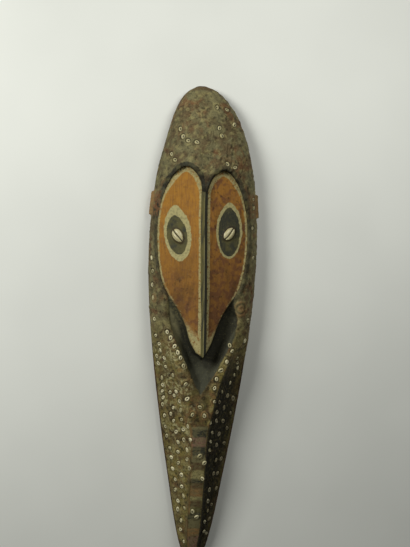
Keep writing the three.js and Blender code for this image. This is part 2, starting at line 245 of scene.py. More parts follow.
def distance_inside(x, y, outline):
    """Signed distance to a closed outline, above zero inside it."""
    best = np.full(np.shape(x), np.inf)
    inside = np.zeros(np.shape(x), bool)
    for (ax, ay), (bx, by) in zip(outline, np.roll(outline, -1, axis=0)):
        dx, dy = bx - ax, by - ay
        t = np.clip(((x - ax) * dx + (y - ay) * dy) / (dx * dx + dy * dy + 1e-12), 0, 1)
        best = np.minimum(best, np.hypot(x - ax - t * dx, y - ay - t * dy))
        crosses = (ay > y) != (by > y)
        inside ^= crosses & (x < ax + dx * (y - ay) / (dy if dy else 1e-12))
    return np.where(inside, best, -best)


def face_outline():
    """Both lobes in plan, x from the midline."""
    def lobe(side):
        points = []
        for x, y in LOBE_CORNERS:
            if side < 0:
                x += along(LEFT_LOBE_EXTRA, y) * (x > NOSE_HALF_BASE)
                y += LEFT_LOBE_RISE * smoothstep(y, LEFT_LOBE_RISE_START, 300)
            points.append((side * x, y))
        return spline(points, 2 * len(points))

    return np.concatenate([lobe(1), [NOSE_TIP], lobe(-1)[::-1]])


def jaw_outline():
    right, left = spline(JAW_PAINT_RIGHT, 24), spline(JAW_PAINT_LEFT, 24) * (-1, 1)
    return np.concatenate([right, [JAW_PAINT_TIP], left[::-1]])


def oval_outline(centre_x, centre_y, half_width, half_height, lean):
    """Upright oval with a pointed top and a rounder bottom."""
    angles = np.linspace(0, 2 * math.pi, OVAL_POINTS, endpoint=False)
    wide, high = np.cos(angles), np.sin(angles)
    wide = np.sign(wide) * np.abs(wide) ** np.where(high > 0, OVAL_TOP_POWER, 1)
    turn = math.radians(lean)
    x, y = wide * half_width, high * half_height
    return stack(
        centre_x + x * math.cos(turn) - y * math.sin(turn),
        centre_y + x * math.sin(turn) + y * math.cos(turn))


FACE_OUTLINE = face_outline()
JAW_OUTLINE = jaw_outline()
# Walls of the lobes: how far they lean out for their height, and their least half width
WALL_LEAN = 0.1
WALL_LEAST = 1.2
NORMAL_REACH = 1.5


def surface_height(x, y, lobe=None):
    """Height of the carved front with its face, before any paste or tool marks."""
    if lobe is None:
        lobe = distance_inside(x, y, FACE_OUTLINE)
    base = front_height(x, y)
    across = np.abs(x)
    ramp = np.clip((NOSE_HALF_BASE + 0.4 - across) / (NOSE_HALF_BASE - 0.7), 0, 1)
    nose = along(NOSE_RISES, y) * mix(ramp, ease(ramp), 0.4)
    face = along(FACE_RIDGE_HEIGHTS, y) - along(FACE_FALLS, y) * across + nose
    half = WALL_LEAST + WALL_LEAN * np.abs(face - base)
    return mix(base, face, smoothstep(lobe, -1.5 * half, 0.5 * half))


def surface_normal(x, y):
    """Unit normals of the carved front at x from the midline."""
    d = NORMAL_REACH
    dx = (surface_height(x + d, y) - surface_height(x - d, y)) / (2 * d)
    dy = (surface_height(x, y + d) - surface_height(x, y - d)) / (2 * d)
    normal = stack(-dx, -dy, 1)
    return normal / np.linalg.norm(normal, axis=-1, keepdims=True)


# Noise for the relief, on the surface's own lengths in millimetres

def value_noise(u, v, cell, seed):
    """Smooth noise from 0 to 1 with lumps about one cell wide."""
    grid = np.random.default_rng(seed).random((256, 256))
    u, v = u / cell + 500, v / cell + 500
    i, j = np.floor(u).astype(int), np.floor(v).astype(int)
    s, t = ease(u - i), ease(v - j)
    i, j, k, l = i & 255, j & 255, (i + 1) & 255, (j + 1) & 255
    return mix(mix(grid[i, j], grid[k, j], s), mix(grid[i, l], grid[k, l], s), t)


def layered_noise(u, v, cell, seed, layers):
    """Noise in layers, each half as coarse and half as strong as the one before."""
    shares = [0.5**n for n in range(layers)]
    noises = [s * value_noise(u, v, cell * s, seed + n) for n, s in enumerate(shares)]
    return sum(noises) / sum(shares)


def mulberry(seed):
    """The next number from 0 to 1 of the generator that placed the solids' shells."""
    mask = 0xFFFFFFFF
    t = (seed + 0x6D2B79F5) & mask
    t = ((t ^ (t >> 15)) * (t | 1)) & mask
    t ^= (t + ((t ^ (t >> 7)) * (t | 61))) & mask
    return ((t ^ (t >> 14)) & mask) / 2**32


def on_surface(x, y, turn=0.0):
    """Point, normal and turn of something that lies on the carved front."""
    ys = np.array([float(y)])
    xs = x - midline(ys)
    point = np.array([x, y, surface_height(xs, ys)[0]])
    return point, surface_normal(xs, ys)[0], turn


def eye_place(x, y, turn):
    return on_surface(x, y, math.radians(turn))


def far_from(place, others, spacing):
    return all(np.linalg.norm(place[0] - other[0]) >= spacing for other in others)


def shell_places():
    """Point, normal and turn of every nassa shell, in the order of the solids."""
    seed = 1
    places = []

    def stray(amount):
        nonlocal seed
        value = amount * (2 * mulberry(seed) - 1)
        seed += 1
        return value

    for x0, y0, x1, y1, count in SHELL_ROWS + MORE_SHELL_ROWS:
        for t in np.linspace(0, 1, count) if count > 1 else (0,):
            x, y = mix(x0, x1, t) + stray(SHELL_STRAY), mix(y0, y1, t) + stray(SHELL_STRAY)
            place = on_surface(x, y, stray(math.pi))
            if far_from(place, places, SHELL_SPACING):
                places.append(place)
    return places


def seated_places():
    """The same, with each shell that is a solid of its own exactly where that solid is."""
    places = []
    for number, (point, normal, turn) in enumerate(shell_places(), 1):
        name = f"nassa_shell_{number:02d}"
        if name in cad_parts:
            low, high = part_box(name)
            point = np.array((low + high) / 2) / MM - normal * SHELL_RISE
        places.append((point, normal, turn))
    return places


# Panel: sizes and colours that a user would change

def linear(code):
    """Linear colour of a 0xRRGGBB code."""
    parts = [(code >> shift & 255) / 255 for shift in (16, 8, 0)]
    return [p / 12.92 if p <= 0.04045 else ((p + 0.055) / 1.055) ** 2.4 for p in parts]


def length(name, millimetres, description):
    return bpy.props.FloatProperty(
        name=name, description=description, default=millimetres * MM, min=0,
        subtype="DISTANCE", unit="LENGTH", precision=5,
    )


def colour(name, code, description):
    return bpy.props.FloatVectorProperty(
        name=name, description=description, default=linear(code), min=0, max=1,
        subtype="COLOR", size=3,
    )


class MaskSizes(bpy.types.PropertyGroup):
    paste_step: length("Paste Step", 1.6, "Height of the paste over the painted wood")
    broad_relief: length("Broad Waves", 0.9, "Height of the paste's broad waves")
    lump_relief: length("Lumps", 0.95, "Height of the paste's lumps")
    grain_relief: length("Grain", 0.55, "Height of the paste's grain")
    curl_relief: length("Curls", 0.55, "Height of the curls that fingers drew")
    tool_relief: length("Tool Marks", 0.3, "Depth of the tool marks under the paint")
    gouge_relief: length("Gouge Marks", 1.1, "Depth of the gouge marks in the back")
    ring_relief: length("Scroll Rings", 1.3, "Height of the rings on the cheeks")
    bed_relief: length("Eye Beds", 2.2, "Height of the paste round the eye shells")
    lip_relief: length("Shell Lips", 0.9, "Height of the lip round a small shell")
    socket_depth: length("Empty Sockets", 1.5, "Depth where a shell has fallen out")
    cowrie_length: length("Cowrie Length", 27, "Length of an eye shell")
    cowrie_width: length("Cowrie Width", 18, "Width of an eye shell")
    cowrie_proud: length("Cowrie Height", 5.5, "How far an eye shell stands out")
    cowrie_sunk: length("Cowrie Depth", 4.5, "How deep an eye shell is set")
    slit_width: length("Slit Width", 2.3, "Width of an eye shell's toothed slit")
    slit_depth: length("Slit Depth", 2.7, "Depth of an eye shell's toothed slit")
    shell_length: length("Shell Length", 10, "Length of a small shell")
    shell_width: length("Shell Width", 7.6, "Width of a small shell")
    shell_proud: length("Shell Height", 2.6, "How far a small shell stands out")
    shell_sunk: length("Shell Depth", 1.8, "How deep a small shell is set")
    mouth_depth: length("Shell Mouth", 2.1, "Depth of a small shell's open back")


class MaskColours(bpy.types.PropertyGroup):
    clay: colour("Clay Paste", 0x716B49, "Olive grey paste")
    clay_warm: colour("Yellow Paste", 0x7C703C, "Yellower paste of the beard")
    clay_brown: colour("Brown Paste", 0x58462D, "Browner parts of the paste")
    clay_pale: colour("Dusty Paste", 0x978E5C, "Dust on the lumps of the paste")
    rust: colour("Rust", 0x714D2E, "Patches of red earth on the paste")
    # Grime, black, red ochre, dark wood and brown paste also paint shade: on the left flank, on the
    # right of the lobes, nose, beard and keel, beside the lobes in the hollow, and in the shells'
    # slits and open backs
    grime_and_shade: colour("Grime", 0x19170D, "Dirt in the pits and creases")
    ochre: colour("Ochre", 0x9C6E28, "Orange paint of the face")
    ochre_red_and_shade: colour("Red Ochre", 0x6E492A, "Redder mottling of the face")
    cream: colour("Cream", 0xA69D6B, "Pale lines and rings of the face")
    residue: colour("Pale Residue", 0xA8A274, "Whitish smears on the beard")
    black: colour("Black", 0x35362B, "Dark paint of the eyes and hollows")
    ash: colour("Ash Grey", 0x5A5531, "Worn grey-green of the dark paint")
    hollow: colour("Hollow Grey", 0x51503B, "Grey paint of the hollow under the face")
    tan: colour("Tan", 0x8A6C42, "Tan stripe of the keel")
    pink: colour("Pink Clay", 0x806350, "Pink stripes of the keel")
    wood: colour("Wood", 0x5A4026, "Bare wood of the back and the rim")
    wood_dark: colour("Dark Wood", 0x2F2116, "Grain and smoke stain of the wood")
    cowrie: colour("Cowrie", 0xBBB288, "Body of the eye shells")
    shell: colour("Nassa", 0xDCD4A8, "Body of the small shells")
    floor: colour("Floor", 0xE4E6DC, "Pale studio floor")


def mm(name):
    """One of the panel's lengths, in millimetres."""
    return getattr(bpy.context.scene.mask_sizes, name) / MM


def paint(name):
    """One of the panel's colours."""
    return tuple(getattr(bpy.context.scene.mask_colours, name))


# Layout of the mask's mesh
ROW_STEP = 1.95
INNER_REACH = 14
INNER_SHARE = 0.3
INNER_COLUMNS = 13
OUTER_COLUMNS = 61
FINE_COLUMNS = 300
FINE_ROWS = 4000
BACK_COLUMNS = 28
# Rim wall from the top down: step outwards and height
WALL = ((0, 8.5), (0, 4), (-0.35, 1.1), (-1.3, 0))
# Steps over the flat rim, as shares of its width
LAND_SHARES = (0.35, 0.7, 0.97)
LEAST_HOLLOW_SHARE = 0.25
HOLLOW_END_Y = 424
HOLLOW_END_EASE = 5
END_INSET = 0.94
# Marks for the paint, with the value of each on the wall and the back
BEHIND = {
    "lobe": -40, "jaw": -40, "keel": -40, "eye_dark": -60, "eye_pale": -60, "brow": -40,
    "slope": -20, "across": 0, "edge": -10, "ring": 0, "pit": 0, "bed": 60, "seat": 60,
    "relief": 0,
}
FARTHEST = 60

# Waves of the paste coat: panel size, lump size, seed and layers
PASTE_WAVES = (
    ("broad_relief", 38, 11, 2), ("lump_relief", 9.5, 21, 3), ("grain_relief", 4.2, 31, 2),
)
# Curls of the paste, where it stops, and what is pressed into it
CURLS = 8
CURL_SIZE = 30
CURL_WARP = 14
PAINT_EDGES = {"lobe": (-1.4, 0.4), "jaw": (-1.4, 0.4), "keel": (-0.8, 0.8), "brow": (-6, 4)}
RIM_FADE = (0.8, 6)
KEEL_TOP_Y = -172
KEEL_EDGE = 1.5
SCROLL_RINGS = ((70, 43, 12.5), (-89, 57, 7))
BROW_WEDGE = (17, 282)
SCROLL_WIDTH = 1.9
SCROLL_RADII = (1, 0.38, 0.7)
BED_REACH = 17
SEAT_SIZE = (5.4, 4.2)
SEAT_DEPTH = 1.2
SOCKET_SIZE = (4.0, 3.0)
SOCKET_SPACING = 11.5
SOCKET_RIM_ROOM = 7
SOCKET_TRIES = 60
SOCKET_SEED = 77
# Where shells have fallen out: centre x, centre y, reach x, reach y, number
SOCKET_ZONES = (
    (-5, 355, 50, 55, 18), (58, 300, 22, 50, 8), (-84, 60, 14, 130, 7),
    (82, 40, 12, 150, 7), (-50, -150, 18, 90, 6), (40, -190, 14, 120, 4),
)


def distance_run(*coordinates):
    """Length of the way along the last axis, up to each point."""
    steps = reduce(np.hypot, [np.diff(c) for c in coordinates])
    return np.cumsum(np.insert(steps, 0, 0, axis=-1), axis=-1)


def row_positions():
    """Values of y from tip to crown, evenly spread over the crest's own length."""
    y = np.linspace(TIP_Y, CROWN_Y, FINE_ROWS)
    run = distance_run(y, along(CREST_HEIGHTS, y))
    return np.interp(np.linspace(0, run[-1], round(run[-1] / ROW_STEP)), run, y)


def front_columns(ys):
    """Each row's distances from the midline, evenly spread over the surface."""
    sides = []
    for side in (-1, 1):
        rim = side_width(side, ys)[:, None]
        inner = np.minimum(INNER_REACH, INNER_SHARE * rim)
        x = inner + (rim - inner) * (1 - (1 - np.linspace(0, 1, FINE_COLUMNS)) ** 2)
        z = surface_height(side * x, np.broadcast_to(ys[:, None], x.shape))
        outer = np.array([
            np.interp(np.linspace(0, run[-1], OUTER_COLUMNS + 1), run, row)
            for run, row in zip(distance_run(x, z), x)
        ])
        near = inner * np.arange(INNER_COLUMNS) / INNER_COLUMNS
        sides.append(side * np.c_[near, outer])
    left, right = sides
    return np.c_[left[:, :0:-1], right]


def turned_axes(normal, turn):
    """Axes of a shape turned about its own axis and leant onto a normal."""
    lean = Vector((0, 0, 1)).rotation_difference(Vector(normal)).to_matrix()
    return np.array(lean @ Matrix.Rotation(turn, 3, "Z"))


def oval_distances(points, place, half_length, half_width):
    """Distances from a place in its own oval's measure: 1 on the oval's edge."""
    centre, normal, turn = place
    local = (points - centre) @ turned_axes(normal, turn)
    return np.linalg.norm(local / (half_length, half_width, half_length), axis=-1)


def socket_places(taken):
    """Seeded places of fallen shells, clear of the shells and of the painted parts."""
    random = np.random.default_rng(SOCKET_SEED)
    found = []
    for centre_x, centre_y, reach_x, reach_y, wanted in SOCKET_ZONES:
        for _ in range(SOCKET_TRIES * wanted):
            if wanted == 0:
                break
            x = centre_x + reach_x * random.uniform(-1, 1)
            y = centre_y + reach_y * random.uniform(-1, 1)
            turn = random.uniform(0, math.pi)
            across, ys = np.array([x - midline(y)]), np.array([y])
            clear = side_width(np.sign(across), ys) - abs(across) >= SOCKET_RIM_ROOM
            for outline, room in ((FACE_OUTLINE, 9), (JAW_OUTLINE, 5)):
                clear &= distance_inside(across, ys, outline) < -room
            if not clear.all():
                continue
            place = on_surface(x, y, turn)
            if far_from(place, taken + found, SOCKET_SPACING):
                found.append(place)
                wanted -= 1
    return found


def bump(distance, centre, width):
    """Soft ridge where a distance is near the centre's."""
    return np.exp(-(((distance - centre) / width) ** 2))


def waves(name, u, v, cell, seed, layers):
    """Noise that goes as far up and down as one of the panel's lengths."""
    return 2 * mm(name) * (layered_noise(u, v, cell, seed, layers) - 0.5)


def front_relief(points, y, run, marks):
    """Displacement of the front along its normals, and marks kept for the paint."""
    half_step = mm("paste_step") / 2
    lumps = sum(waves(name, run, y, *noise) for name, *noise in PASTE_WAVES)
    warp = CURL_WARP * (layered_noise(run, y, CURL_SIZE, 41, 2) - 0.5)
    swirl = layered_noise(run + warp, y - warp, CURL_SIZE, 51, 2)
    curls = mm("curl_relief") * np.cos(swirl * 2 * math.pi * CURLS)
    curls *= smoothstep(value_noise(run, y, 48, 61), 0.3, 0.6)
    tool = waves("tool_relief", run, y / 3.5, 7, 71, 2)
    painted = reduce(np.maximum, [smoothstep(marks[n], *ends) for n, ends in PAINT_EDGES.items()])
    relief = mix(half_step + lumps + curls, tool - half_step, painted)

    # Scroll rings on the cheeks
    for ring_x, ring_y, radius in SCROLL_RINGS:
        distance = np.linalg.norm(points - on_surface(ring_x, ring_y)[0], axis=-1)
        near = 1 - smoothstep(distance, radius + 2, radius + 6)
        outer, inner, groove = [
            bump(distance, share * radius, SCROLL_WIDTH) for share in SCROLL_RADII]
        scroll = outer + inner
        relief = mix(relief, half_step + mm("ring_relief") * scroll, near)
        marks["ring"] = np.maximum(marks["ring"], scroll * near)
        marks["pit"] = np.maximum(marks["pit"], groove * near)

    # Ragged bed of paste round each eye shell
    slimness = mm("cowrie_width") / mm("cowrie_length")
    for _, *place in EYES:
        distance = oval_distances(points, eye_place(*place), 1, slimness)
        marks["bed"] = np.minimum(marks["bed"], distance)
    shell_edge = mm("cowrie_length") / 2
    ragged = marks["bed"] + 2.5 * (value_noise(run, y, 6, 81) - 0.5)
    bed = 1 - smoothstep(ragged, shell_edge - 0.5, BED_REACH)
    bed *= smoothstep(marks["bed"], shell_edge - 5, shell_edge - 1)
    relief += bed * mm("bed_relief") * (0.6 + 0.8 * value_noise(run, y, 4.5, 91))

    # Lip and seat of each small shell, and the sockets of fallen ones
    shells = seated_places()
    for place in shells:
        distance = oval_distances(points, place, *SEAT_SIZE)
        relief *= smoothstep(distance, 0.95, 1.7)
        relief += mm("lip_relief") * bump(distance, 1.25, 0.3)
        relief -= SEAT_DEPTH * (1 - smoothstep(distance, 0.55, 0.95))
        marks["seat"] = np.minimum(marks["seat"], distance * SEAT_SIZE[0])
    random = np.random.default_rng(SOCKET_SEED)
    for place in socket_places(shells):
        size = random.uniform(0.75, 1.15) * np.array(SOCKET_SIZE)
        distance = oval_distances(points, place, *size)
        relief += mm("lip_relief") * 0.7 * bump(distance, 1.4, 0.35)
        pit = (1 - smoothstep(distance, 0.45, 1.15)) * random.uniform(0.5, 1)
        relief -= mm("socket_depth") * pit
        marks["pit"] = np.maximum(marks["pit"], pit)
    marks["relief"] = relief
    return relief * smoothstep(marks["edge"], *RIM_FADE)


def lug_push(y, z):
    """How far the lugs push the mask's sides out at a height z."""
    beside = smoothstep(LUG["half"] - np.abs(y - LUG["y"]), -1, 1)
    return LUG["proud"] * beside * (1 - smoothstep(z, LUG["height"] - 1, LUG["height"] + 2.5))


def in_ovals(x, y, ovals):
    """Distance inside the nearest of some painted ovals, above zero on it."""
    return reduce(np.maximum, [distance_inside(x, y, oval_outline(*oval)) for oval in ovals])


def front_grid(ys):
    """Points of the displaced front and the marks that its paint follows."""
    x = front_columns(ys)
    y = np.broadcast_to(ys[:, None], x.shape).copy()
    lobe = distance_inside(x, y, FACE_OUTLINE)
    real_x = midline(y) + x
    points = stack(real_x, y, surface_height(x, y, lobe))
    run = distance_run(*np.moveaxis(points, -1, 0))
    crest = along(CREST_HALF_WIDTHS, y)
    brow_half, brow_top = BROW_WEDGE
    marks = {name: np.full(x.shape, float(value)) for name, value in BEHIND.items()}
    marks.update({
        "lobe": lobe,
        "jaw": distance_inside(x, y, JAW_OUTLINE),
        "keel": np.minimum(crest - KEEL_EDGE - np.abs(x), KEEL_TOP_Y - y),
        "eye_dark": in_ovals(real_x, y, EYE_DARK_OVALS),
        "eye_pale": in_ovals(real_x, y, EYE_PALE_OVALS),
        "brow": np.minimum(brow_half - np.abs(x), brow_top - y),
        "slope": np.where(x > 0, x - crest, BEHIND["slope"]),
        "across": x,
        "edge": reduce(np.minimum, [run, run[:, -1:] - run, CROWN_Y - y, y - TIP_Y]),
    })
    middle = run[:, INNER_COLUMNS + OUTER_COLUMNS, None]
    relief = front_relief(points, y, run - middle, marks)
    normals = np.cross(np.gradient(points, axis=1), np.gradient(points, axis=0))
    normals /= np.linalg.norm(normals, axis=-1, keepdims=True)
    points += normals * relief[..., None]
    points[..., 0] += np.sign(x) * lug_push(y, points[..., 2])
    return points, marks


def back_rows(ys):
    """Rim walls, flat rim and gouged hollow of each row, from the right side to the left."""
    half = along(HALF_WIDTHS, ys)
    inner = np.maximum(half - RIM_LAND, LEAST_HOLLOW_SHARE * half)
    centre = outline_centre(ys)
    inside = smoothstep(HOLLOW_END_Y - np.abs(ys), 0, HOLLOW_END_EASE)
    ceiling = along(HOLLOW_HEIGHTS, np.clip(ys, -HOLLOW_END_Y, HOLLOW_END_Y))
    reach, power = HOLLOW_POWERS

    def rim(side):
        wall = [(half + inset + lug_push(ys, z), z) for inset, z in WALL]
        land = [(mix(half, inner, share), 0) for share in LAND_SHARES]
        return [stack(centre + side * x, ys, z) for x, z in wall + land]

    def hollow(share):
        arch = (1 - min(1, abs(share)) ** reach) ** power
        x = centre + inner * share
        scoop = np.abs(2 * value_noise(x + 3 * np.sin(ys / 17), ys / 3.2, 11, 101) - 1)
        z = mix(HOLLOW_LIP, ceiling, arch) - mm("gouge_relief") * arch * (1 - scoop)
        return stack(x, ys, z * inside)

    shares = [math.sin(a) for a in np.linspace(math.pi / 2, -math.pi / 2, BACK_COLUMNS + 1)]
    return np.stack([*rim(1), *map(hollow, shares), *rim(-1)[::-1]], axis=1)


def ring_faces(rows, columns):
    """Faces of a closed tube of rows, with a fan round a last point at each end."""
    ring = np.arange(columns)
    after = (ring + 1) % columns
    row = columns * np.arange(rows - 1)[:, None]
    quads = stack(row + ring, row + after, row + columns + after, row + columns + ring)
    first, base = rows * columns, columns * (rows - 1)
    fans = [stack(first, after, ring), stack(first + 1, base + ring, base + after)]
    return quads.reshape(-1, 4).tolist() + np.concatenate(fans).tolist()


def mesh_of(name, points, faces, smooth_angle=None):
    mesh = bpy.data.meshes.new(name)
    mesh.from_pydata((np.asarray(points) * MM).tolist(), [], faces)
    mesh.validate()
    mesh.shade_smooth()
    if smooth_angle:
        mesh.set_sharp_from_angle(angle=math.radians(smooth_angle))
    return mesh


def keep_mark(mesh, name, values):
    """Keep a number on each of the mesh's points."""
    layer = mesh.attributes.new(name, "FLOAT", "POINT")
    layer.data.foreach_set("value", np.asarray(values, np.float32))


def add_object(name, data):
    thing = bpy.data.objects.new(name, data)
    bpy.context.scene.collection.objects.link(thing)
    return thing


def add_piece(name, mesh, material):
    piece = add_object(name, mesh)
    if not mesh.materials:
        mesh.materials.append(material)
    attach(piece, "root")
    return piece


def carved_mesh():
    """The whole mask as one closed skin, with the marks for its paint on its points."""
    ys = row_positions()
    front, marks = front_grid(ys)
    back = back_rows(ys)
    skin = np.concatenate([front, back], axis=1)
    for row in (0, -1):
        skin[row] = mix(skin[row].mean(axis=0), skin[row], END_INSET)
    ends = [skin[0].mean(axis=0), skin[-1].mean(axis=0)]
    points = np.concatenate([skin.reshape(-1, 3), ends])
    mesh = mesh_of("carved_mask", points, ring_faces(*skin.shape[:2]), 60)
    for name, values in marks.items():
        behind = float(BEHIND[name])
        whole = np.pad(values, ((0, 0), (0, back.shape[1])), constant_values=behind)
        keep_mark(mesh, name, np.r_[np.clip(whole.ravel(), -FARTHEST, FARTHEST), behind, behind])
    return mesh


# Shells

COWRIE_RINGS = 44
COWRIE_SEGMENTS = 60
COWRIE_TAPER = 0.12
COWRIE_TEETH_PITCH = 1.75
COWRIE_TEETH_DEPTH = 0.32
COWRIE_VALLEY = (0.7, 2.8)
COWRIE_NOTCH = (0.9, 1.6)
COWRIE_POLE = (0.4, 0.5, -0.6)


def cowrie_mesh(name, place):
    """Cowrie with its toothed slit up, narrower at one end, turned onto its place."""
    ring = np.linspace(math.pi, 0, COWRIE_RINGS + 1)[1:-1, None]
    share = np.linspace(1, -1, COWRIE_SEGMENTS, endpoint=False)
    around = np.sign(share) * math.pi * np.abs(share) ** 1.5
    x = np.cos(ring) + 0 * around
    y = np.sin(ring) * np.sin(around)
    z = np.sin(ring) * np.cos(around)
    half_length = mm("cowrie_length") / 2
    wide = y * mm("cowrie_width") / 2 * (1 - COWRIE_TAPER * x)
    up = z > 0
    # The slit side is flatter than the back, and rolls over at the lips
    high = np.where(up, mm("cowrie_proud") * np.abs(z) ** 0.8, mm("cowrie_sunk") * z)
    off = wide - 0.9 * np.sin(x * 2.2)
    closed_end = 1 - smoothstep(np.abs(x), 0.9, 1.0)
    valley_depth, valley_width = COWRIE_VALLEY
    notch_depth, notch_width = COWRIE_NOTCH
    slit = bump(off, 0, mm("slit_width") / 2) * closed_end
    valley = bump(off, 0, valley_width) * closed_end
    teeth = np.cos(x * half_length * 2 * math.pi / COWRIE_TEETH_PITCH)
    reach = smoothstep(np.abs(off), 0.5, 1.1) * (1 - smoothstep(np.abs(off), 2.2, 4.2))
    notch = bump(np.abs(x), 1, 0.09) * bump(off, 0, notch_width)
    high += up * (
        COWRIE_TEETH_DEPTH * teeth * reach * closed_end
        - mm("slit_depth") * slit - valley_depth * valley - notch_depth * notch)
    pole_inset, pole_side, pole_z = COWRIE_POLE
    poles = [(side * (half_length - pole_inset), side * pole_side, pole_z) for side in (-1, 1)]
    points = np.concatenate([stack(x * half_length, wide, high).reshape(-1, 3), poles])
    centre, normal, turn = place
    mesh = mesh_of(name, points @ turned_axes(normal, turn).T + centre, ring_faces(*x.shape))
    # Painted shade in the slit and between the teeth, kept as the groove mark
    between_teeth = 0.45 * valley * (0.5 - 0.5 * teeth)
    groove = np.where(up, np.maximum(slit, between_teeth), 0)
    keep_mark(mesh, "groove", np.r_[groove.ravel(), 0.6, 0.6])
    return mesh


class Nodes:
    """A node tree, filled node by node."""

    def __init__(self, tree):
        self.tree = tree

    def add(self, kind, inputs=(), **settings):
        """A node with its settings, and its inputs set or linked by name or number."""
        node = self.tree.nodes.new(kind)
        for key, value in settings.items():
            setattr(node, key, value)
        for key, value in dict(inputs).items():
            if isinstance(value, bpy.types.NodeSocket):
                self.tree.links.new(value, node.inputs[key])
            else:
                node.inputs[key].default_value = value
        return node

    def math(self, operation, *values):
        inputs = dict(enumerate(values))
        return self.add("ShaderNodeMath", inputs, operation=operation).outputs[0]

    def both(self, *values):
        """The product, so 1 only where all are 1."""
        return reduce(partial(self.math, "MULTIPLY"), values)

    def either(self, *values):
        """The highest, so 1 where any is 1."""
        return reduce(partial(self.math, "MAXIMUM"), values)

    def total(self, *values):
        return reduce(partial(self.math, "ADD"), values)

    def scaled(self, value, by, plus):
        return self.math("MULTIPLY_ADD", value, by, plus)


# Inputs of the small shells' node tree, and the panel's size that each takes
SHELL_SIZES = {
    "Length": "shell_length", "Width": "shell_width", "Height": "shell_proud",
    "Depth": "shell_sunk", "Mouth": "mouth_depth",
}
SHELL_SEED = 5
SHELL_SCALES = (0.78, 1.1)
MOUTH_CENTRE = 0.17
MOUTH_SLIMNESS = 2.6
MOUTH_EDGE = (1.8, 0.38)
BACK_HEIGHT = 0.05


def shell_tree(material):
    """Node tree that sets a nassa shell with its back cut open on every point."""
    tree = bpy.data.node_groups.new("Nassa Shells", "GeometryNodeTree")
    tree.is_modifier = True
    sockets = {}
    kinds = {"Geometry": "Geometry", **dict.fromkeys(SHELL_SIZES, "Float"), "Seed": "Int"}
    for label, kind in kinds.items():
        socket = tree.interface.new_socket(
            label, in_out="INPUT", socket_type="NodeSocket" + kind)
        if kind == "Float":
            socket.subtype = "DISTANCE"
        sockets[label] = socket.identifier
    tree.interface.new_socket("Geometry", in_out="OUTPUT", socket_type="NodeSocketGeometry")
    n = Nodes(tree)
    given = n.add("NodeGroupInput").outputs

    def store(geometry, name, value, domain):
        inputs = {"Geometry": geometry, "Name": name, "Value": value}
        kind = "GeometryNodeStoreNamedAttribute"
        return n.add(kind, inputs, data_type="FLOAT", domain=domain).outputs[0]

    def kept(name, kind):
        node = n.add("GeometryNodeInputNamedAttribute", {"Name": name}, data_type=kind)
        return node.outputs[0]

    def random(inputs):
        return n.add("FunctionNodeRandomValue", inputs, data_type="FLOAT").outputs[1]

    ball = n.add("GeometryNodeMeshUVSphere", {"Segments": 16, "Rings": 12, "Radius": 1.0})
    place = n.add("GeometryNodeInputPosition").outputs[0]
    x, y, z = n.add("ShaderNodeSeparateXYZ", {0: place}).outputs
    # The open back is a long oval that lies a little to one side
    off = n.math("SUBTRACT", y, MOUTH_CENTRE)
    spread = n.scaled(x, x, n.both(off, off, MOUTH_SLIMNESS))
    top = n.math("GREATER_THAN", z, BACK_HEIGHT)
    steepness, reach = MOUTH_EDGE
    mouth = n.either(n.scaled(spread, -steepness / reach, steepness), 0)
    mouth = n.both(n.math("MINIMUM", mouth, 1), top)
    # One end is narrower, and one lip is higher
    narrow, lip = n.scaled(x, -0.16, 1), n.scaled(y, -0.22, 1)
    new_x = n.both(x, given["Length"], 0.5)
    new_y = n.both(y, given["Width"], 0.5, narrow)
    rise = n.both(z, given["Height"], lip, top)
    sink = n.both(z, given["Depth"], n.math("SUBTRACT", 1, top))
    new_z = n.math("SUBTRACT", n.total(rise, sink), n.both(mouth, given["Mouth"]))
    shape = n.add("ShaderNodeCombineXYZ", {0: new_x, 1: new_y, 2: new_z}).outputs[0]
    shell = n.add("GeometryNodeSetPosition", {
        "Geometry": store(ball.outputs["Mesh"], "mouth", mouth, "POINT"), "Position": shape})

    spin = n.add("FunctionNodeAxisAngleToRotation", {
        "Axis": (0, 0, 1), "Angle": kept("turn", "FLOAT")}).outputs[0]
    lean = n.add("FunctionNodeAlignRotationToVector", {
        "Rotation": spin, "Vector": kept("seat_normal", "FLOAT_VECTOR")}, axis="Z").outputs[0]
    low, high = SHELL_SCALES
    placed = n.add("GeometryNodeInstanceOnPoints", {
        "Points": given["Geometry"], "Instance": shell.outputs[0], "Rotation": lean,
        "Scale": random({2: low, 3: high, "Seed": given["Seed"]})})
    tone = random({"Seed": n.total(given["Seed"], 1)})
    shells = store(placed.outputs[0], "tone", tone, "INSTANCE")
    for kind in ("GeometryNodeRealizeInstances", "GeometryNodeSetShadeSmooth"):
        shells = n.add(kind, {0: shells}).outputs[0]
    done = n.add("GeometryNodeSetMaterial", {"Geometry": shells, "Material": material})
    n.add("NodeGroupOutput", {0: done.outputs[0]})
    return tree, sockets


def shells_mesh(material):
    """All the small shells as one plain mesh, made by the node tree."""
    points, normals, turns = zip(*seated_places())
    mesh = mesh_of("shell_seats", points, [])
    layer = mesh.attributes.new("seat_normal", "FLOAT_VECTOR", "POINT")
    layer.data.foreach_set("vector", np.ravel(normals).astype(np.float32))
    keep_mark(mesh, "turn", turns)
    seats = add_object("shell_seats", mesh)
    tree, sockets = shell_tree(material)
    modifier = seats.modifiers.new("Nassa Shells", "NODES")
    modifier.node_group = tree
    modifier[sockets["Seed"]] = SHELL_SEED
    for label, name in SHELL_SIZES.items():
        modifier[sockets[label]] = getattr(bpy.context.scene.mask_sizes, name)
    depsgraph = bpy.context.evaluated_depsgraph_get()
    baked = bpy.data.meshes.new_from_object(
        seats.evaluated_get(depsgraph), preserve_all_data_layers=True, depsgraph=depsgraph)
    seats.modifiers.clear()
    bpy.data.objects.remove(seats)
    baked.name = "nassa_shells"
    return baked


# Materials

